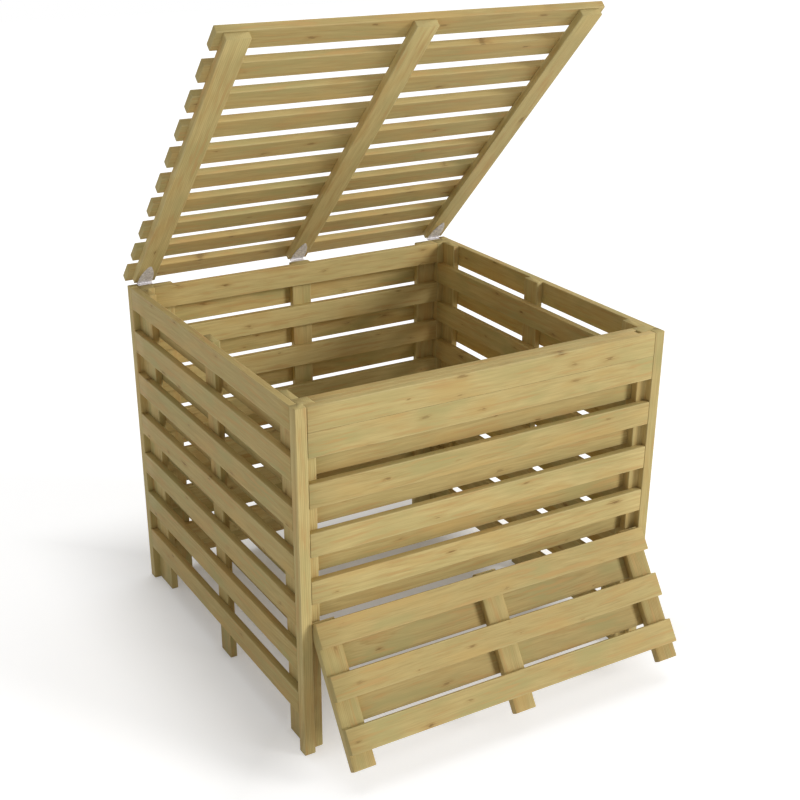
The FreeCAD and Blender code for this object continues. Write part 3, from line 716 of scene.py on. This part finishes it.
# %% The tone group
SPRING = (0.660, 0.526, 0.228, 1)
SUMMER = (0.420, 0.295, 0.105, 1)
OLIVE = (0.440, 0.385, 0.155, 1)
WARM = (0.585, 0.400, 0.145, 1)
SMEAR = (0.560, 0.360, 0.138, 1)
HALO = (0.520, 0.350, 0.128, 1)
FEATHER = (0.350, 0.205, 0.066, 1)
HEART = (0.190, 0.110, 0.036, 1)
WORN = (0.650, 0.535, 0.260, 1)
SAWN_END = (0.430, 0.345, 0.140, 1)
KNOT_SHARES = (("Halo", 0.50, HALO), ("Feather", 0.66, FEATHER), ("Knot", 0.64, HEART))
# Each row takes a mask from its first two values to its last two, or else to 0 and 1.
STREAK_TONE = (0.30, 0.70, 0.12, 0.40)
LINE_TONE = (0.36, 0.70, 0.0, 0.26)
BOARD_TONE = (0.0, 1.0, -0.20, 0.30)
RINGS_BY_BOARD = (0.2, 1.0, 0.2, 1.2)
GREEN_BY_BOARD = (0.0, 1.0, 0.4, 1.3)
GREEN_PATCH = (0.46, 0.66)
WARM_PATCH = (0.48, 0.28, 0.0, 0.65)
SMEAR_PATCH = (0.53, 0.68, 0.0, 0.75)
WORN_PATCH = (0.3, 0.7, 0.1, 0.45)
FIBRE_SHADE = (0.25, 0.75, 0.95, 1.05)
FIBRE_ROUGH = (0.2, 0.8, 0.52, 0.68)
SAWN_SHARE = 0.5
SAWN_ROUGH = 0.2
RING_HEIGHT = 0.5
FIBRE_HEIGHT = 0.6
RING_MULTIPLE = 13.7
GREEN_MULTIPLE = 7.3


def tone_group():
    inputs = {name: "Float" for name in (*MASKS, "Edge", "Sawn", "Ring Strength", "Green")}
    outputs = {"Color": "Color", "Rough": "Float", "Height": "Float"}
    tree, mask, result = group("pine_tones", inputs, outputs)
    streaks = calc(tree, "ADD", ramp(tree, mask["Streak"], *STREAK_TONE),
                   ramp(tree, mask["Line"], *LINE_TONE))
    own = ramp(tree, mask["Board"], *BOARD_TONE, smooth=False)
    lined = calc(tree, "FRACT", calc(tree, "MULTIPLY", mask["Board"], RING_MULTIPLE))
    lined = calc(tree, "MULTIPLY", ramp(tree, lined, *RINGS_BY_BOARD), mask["Ring Strength"])
    ringed = calc(tree, "MULTIPLY", mask["Ring"], lined)
    tone = calc(tree, "ADD", calc(tree, "ADD", streaks, own), ringed)
    green = calc(tree, "FRACT", calc(tree, "MULTIPLY", mask["Board"], GREEN_MULTIPLE))
    green = calc(tree, "MULTIPLY", ramp(tree, green, *GREEN_BY_BOARD), mask["Green"])
    green = calc(tree, "MULTIPLY", ramp(tree, mask["Cloud"], *GREEN_PATCH), green)
    worn = calc(tree, "MULTIPLY", mask["Edge"], ramp(tree, mask["Cloud"], *WORN_PATCH))

    colour = blend(tree, tone, SPRING, SUMMER)
    colour = blend(tree, ramp(tree, mask["Cloud"], *WARM_PATCH), colour, WARM)
    colour = blend(tree, green, colour, OLIVE)
    colour = blend(tree, ramp(tree, mask["Streak"], *SMEAR_PATCH), colour, SMEAR)
    for name, share, shade in KNOT_SHARES:
        colour = blend(tree, calc(tree, "MULTIPLY", mask[name], share), colour, shade)
    colour = blend(tree, worn, colour, WORN)
    colour = blend(tree, calc(tree, "MULTIPLY", mask["Sawn"], SAWN_SHARE), colour, SAWN_END)
    fine = ramp(tree, mask["Fibre"], *FIBRE_SHADE, smooth=False)
    shade = add(tree, "ShaderNodeCombineColor", {0: fine, 1: fine, 2: fine}).outputs[0]
    colour = blend(tree, 1.0, colour, shade, "MULTIPLY")
    rough = calc(tree, "ADD", ramp(tree, mask["Fibre"], *FIBRE_ROUGH, smooth=False),
                 calc(tree, "MULTIPLY", mask["Sawn"], SAWN_ROUGH))
    height = calc(tree, "ADD", calc(tree, "MULTIPLY", ringed, RING_HEIGHT),
                  calc(tree, "MULTIPLY", mask["Fibre"], FIBRE_HEIGHT))
    for name, value in (("Color", colour), ("Rough", rough), ("Height", height)):
        tree.links.new(value, result.inputs[name])
    return tree


tones = tone_group()
print(len(tones.nodes), "nodes in the tone group")

# %% [markdown]
# The slats are cut beside the tree's centre, so their rings are wide and soft, and they have
# many small knots. Posts and battens are cut across the rings: fine straight lines, and few
# knots. Both are the same two groups with other values.

# %% The timber finishes
SLAT_GROWTH = {"Ring Width": 0.0046, "Wander": 0.9, "Knots": 0.45}
SLAT_TONES = {"Ring Strength": 0.30, "Green": 0.55}
BATTEN_GROWTH = {"Ring Width": 0.0044, "Wander": 0.35, "Knots": 0.14}
BATTEN_TONES = {"Ring Strength": 0.95, "Green": 0.60}
GRAIN_RELIEF = {"Strength": 0.35, "Distance": 0.0006}
WOOD_SHINE = 0.14


def pine(name, growth_values, tone_values):
    made, tree = empty_material(name)
    note = {title: add(tree, "ShaderNodeAttribute", attribute_name=title).outputs
            for title in ("grain", "pith", "edge", "sawn")}
    grown = add(tree, "ShaderNodeGroup", {}, node_tree=growth)
    toned = add(tree, "ShaderNodeGroup", {}, node_tree=tones)
    tree.links.new(note["grain"]["Vector"], grown.inputs["Grain"])
    tree.links.new(note["pith"]["Vector"], grown.inputs["Pith"])
    tree.links.new(note["edge"]["Fac"], toned.inputs["Edge"])
    tree.links.new(note["sawn"]["Fac"], toned.inputs["Sawn"])
    for mask in MASKS:
        tree.links.new(grown.outputs[mask], toned.inputs[mask])
    for made_node, values in ((grown, growth_values), (toned, tone_values)):
        for title, value in values.items():
            made_node.inputs[title].default_value = value
    bump = add(tree, "ShaderNodeBump", {**GRAIN_RELIEF, "Height": toned.outputs["Height"]})
    skin = add(tree, "ShaderNodeBsdfPrincipled", {
        "Base Color": toned.outputs["Color"], "Roughness": toned.outputs["Rough"],
        "Normal": bump.outputs[0], "Specular IOR Level": WOOD_SHINE})
    add(tree, "ShaderNodeOutputMaterial", {"Surface": skin.outputs[0]})
    return made


slat_pine = pine("slat_pine", SLAT_GROWTH, SLAT_TONES)
batten_pine = pine("batten_pine", BATTEN_GROWTH, BATTEN_TONES)
for piece in timbers:
    straight = any(word in piece.name for word in STRAIGHT_WORDS)
    piece.data.materials.append(batten_pine if straight else slat_pine)
print("timber finished")

# %% [markdown]
# ## Zinc-plated steel
#
# The hinges are plated sheet. Zinc sets in flat crystals that each catch the light a little
# differently, so a Voronoi pattern gives every crystal its own grey and its own gloss, and a
# cloudy noise adds the dull bloom that the plating gets outdoors. The surface is bright but
# not a mirror, so it is only partly metallic.

# %% The zinc finish
CRYSTALS_PER_METRE = 240.0
BLOOM = (90.0, 4.0, 0.6)        # scale, detail and roughness of its noise
DARK_CRYSTAL = (0.58, 0.56, 0.58, 1)
PALE_CRYSTAL = (0.98, 0.96, 0.97, 1)
BLOOM_GREY = (0.72, 0.70, 0.71, 1)
BLOOM_PATCH = (0.45, 0.75, 0.0, 0.5)
CRYSTAL_ROUGH = (0.0, 1.0, 0.40, 0.55)
BLOOM_ROUGH = (0.4, 0.8, 0.0, 0.2)
ZINC_RELIEF = {"Strength": 0.2, "Distance": 0.0002}
ZINC_METAL = 0.25


def zinc():
    made, tree = empty_material("zinc_plate")
    place = add(tree, "ShaderNodeTexCoord").outputs["Object"]
    crystal = add(tree, "ShaderNodeTexVoronoi", {"Vector": place, "Scale": CRYSTALS_PER_METRE})
    grey = add(tree, "ShaderNodeSeparateColor", {0: crystal.outputs["Color"]}).outputs[0]
    bloom = noise(tree, place, *BLOOM)
    colour = blend(tree, grey, DARK_CRYSTAL, PALE_CRYSTAL)
    colour = blend(tree, ramp(tree, bloom, *BLOOM_PATCH), colour, BLOOM_GREY)
    rough = calc(tree, "ADD", ramp(tree, grey, *CRYSTAL_ROUGH), ramp(tree, bloom, *BLOOM_ROUGH))
    bump = add(tree, "ShaderNodeBump", {**ZINC_RELIEF, "Height": bloom})
    skin = add(tree, "ShaderNodeBsdfPrincipled", {
        "Base Color": colour, "Metallic": ZINC_METAL, "Roughness": rough,
        "Normal": bump.outputs[0]})
    add(tree, "ShaderNodeOutputMaterial", {"Surface": skin.outputs[0]})
    return made


zinc_plate = zinc()
for node in metal_nodes:
    mesh = frame["nodes"][node].data
    mesh.materials.clear()
    mesh.materials.append(zinc_plate)
for piece in screw_pieces:
    piece.data.materials.append(zinc_plate)
print(len(metal_nodes), "metal nodes plated")

# %% [markdown]
# ## Floor and light
#
# The studio is white. The world is plain white where the camera, or a reflection, looks
# straight at it, and for all other rays it is a soft even light. One soft sun stands low at the
# front right, so the front faces are lit and the left side is in half shade. A weaker one high
# up behind the bin lights the upper faces, and the lid keeps it off the back half.
#
# The floor is a pale sheet that keeps the soft shadow. It also glows, though it is no lamp,
# and this painted light lights the underside of the lid. Towards the bin the glow fades. That
# is painted shade, on the floor and in the light it gives, where a real floor would lie in the
# bin's shade. How bright the glow looks and how much light it gives are two levels, told apart
# by the kind of ray, and each has its own fade.

# %% Stage
SUN_FROM = (44.0, 19.0)         # degrees to the right of the front, and above the floor
SUN_STRENGTH = 1.78
SUN_WIDTH = 20.0
TOP_FROM = (140.0, 75.0)
TOP_STRENGTH = 0.9
TOP_WIDTH = 50.0
WORLD_LEVEL = 0.315
FLOOR_GREY = (0.80, 0.80, 0.80, 1)
FLOOR_DROP = 0.0005             # how far the sheet lies under the feet
FLOOR_HALF = 14.0
# painted light: the floor glows though it is no lamp, and this is how much light it gives
FLOOR_GLOW = 0.24
FLOOR_SHOWN = 0.47
# Each row takes the distance from the square under the bin to a share of the level, which paints
# shade on the floor near the bin and under it.
SHOWN_PAINTED_SHADE = (-0.24, 0.34, 0.20, 1.12)
GLOW_PAINTED_SHADE = (0.0, 0.9, 0.1, 1.0)
# the square under which the painted floor shade is deepest; its middle sits a little behind the
# bin's, so the shade reaches less far in front of the hatch
SQUARE_HALF = 0.5
SQUARE_MIDDLE = -0.33           # a little behind the bin's middle, to spare the hatch's foot


def seen_directly(tree):
    """1 where the camera or a reflection looks at the surface, and 0 for all other rays."""
    path = add(tree, "ShaderNodeLightPath").outputs
    return calc(tree, "MAXIMUM", path["Is Camera Ray"], path["Is Glossy Ray"])


def add_floor():
    """Square of four points just under the feet, large enough to reach past the picture."""
    mesh = bpy.data.meshes.new("floor")
    h = FLOOR_HALF
    mesh.from_pydata([(-h, -h, 0), (h, -h, 0), (h, h, 0), (-h, h, 0)], [], [(0, 1, 2, 3)])
    floor = bpy.data.objects.new("floor", mesh)
    floor.location.z = -FLOOR_DROP
    bpy.context.scene.collection.objects.link(floor)
    made, tree = empty_material("pale_floor")
    matt = add(tree, "ShaderNodeBsdfDiffuse", {"Color": FLOOR_GREY})
    place = add(tree, "ShaderNodeSeparateXYZ", {
        0: add(tree, "ShaderNodeTexCoord").outputs["Object"]}).outputs
    beside = calc(tree, "ABSOLUTE", place[0])
    before = calc(tree, "ABSOLUTE", calc(tree, "SUBTRACT", place[1], SQUARE_MIDDLE))
    outside = calc(tree, "SUBTRACT", calc(tree, "MAXIMUM", beside, before), SQUARE_HALF)
    # painted shadow: how bright the floor looks, turned down near and under the bin
    shown = calc(tree, "MULTIPLY", ramp(tree, outside, *SHOWN_PAINTED_SHADE), FLOOR_SHOWN)
    # painted light from the glowing floor, with painted shade: turned down near and under the
    # bin
    given = calc(tree, "MULTIPLY", ramp(tree, outside, *GLOW_PAINTED_SHADE), FLOOR_GLOW)
    more = calc(tree, "MULTIPLY", seen_directly(tree), calc(tree, "SUBTRACT", shown, given))
    level = calc(tree, "ADD", given, more)
    glow = add(tree, "ShaderNodeEmission", {"Strength": level})
    both = add(tree, "ShaderNodeAddShader", {0: matt.outputs[0], 1: glow.outputs[0]})
    add(tree, "ShaderNodeOutputMaterial", {"Surface": both.outputs[0]})
    mesh.materials.append(made)


def add_world():
    world = bpy.data.worlds.new("studio")
    world.use_nodes = True
    tree = world.node_tree
    tree.nodes.clear()
    level = ramp(tree, seen_directly(tree), 0.0, 1.0, WORLD_LEVEL, 1.0, smooth=False)
    back = add(tree, "ShaderNodeBackground", {"Color": (1, 1, 1, 1), "Strength": level})
    add(tree, "ShaderNodeOutputWorld", {"Surface": back.outputs[0]})
    bpy.context.scene.world = world


def add_sun(name, coming_from, strength, width):
    """Lamp whose light comes from the given turn to the right of the front, and height."""
    data = bpy.data.lights.new(name, "SUN")
    data.energy = strength
    data.angle = math.radians(width)
    sun = bpy.data.objects.new(name, data)
    turn, rise = map(math.radians, coming_from)
    towards = Vector((math.sin(turn) * math.cos(rise), -math.cos(turn) * math.cos(rise),
                      math.sin(rise)))
    sun.rotation_euler = towards.to_track_quat("Z", "Y").to_euler()
    bpy.context.scene.collection.objects.link(sun)


add_floor()
add_world()
add_sun("front_sun", SUN_FROM, SUN_STRENGTH, SUN_WIDTH)
add_sun("top_sun", TOP_FROM, TOP_STRENGTH, TOP_WIDTH)
bpy.context.scene.view_settings.view_transform = "Standard"
print("stage ready")
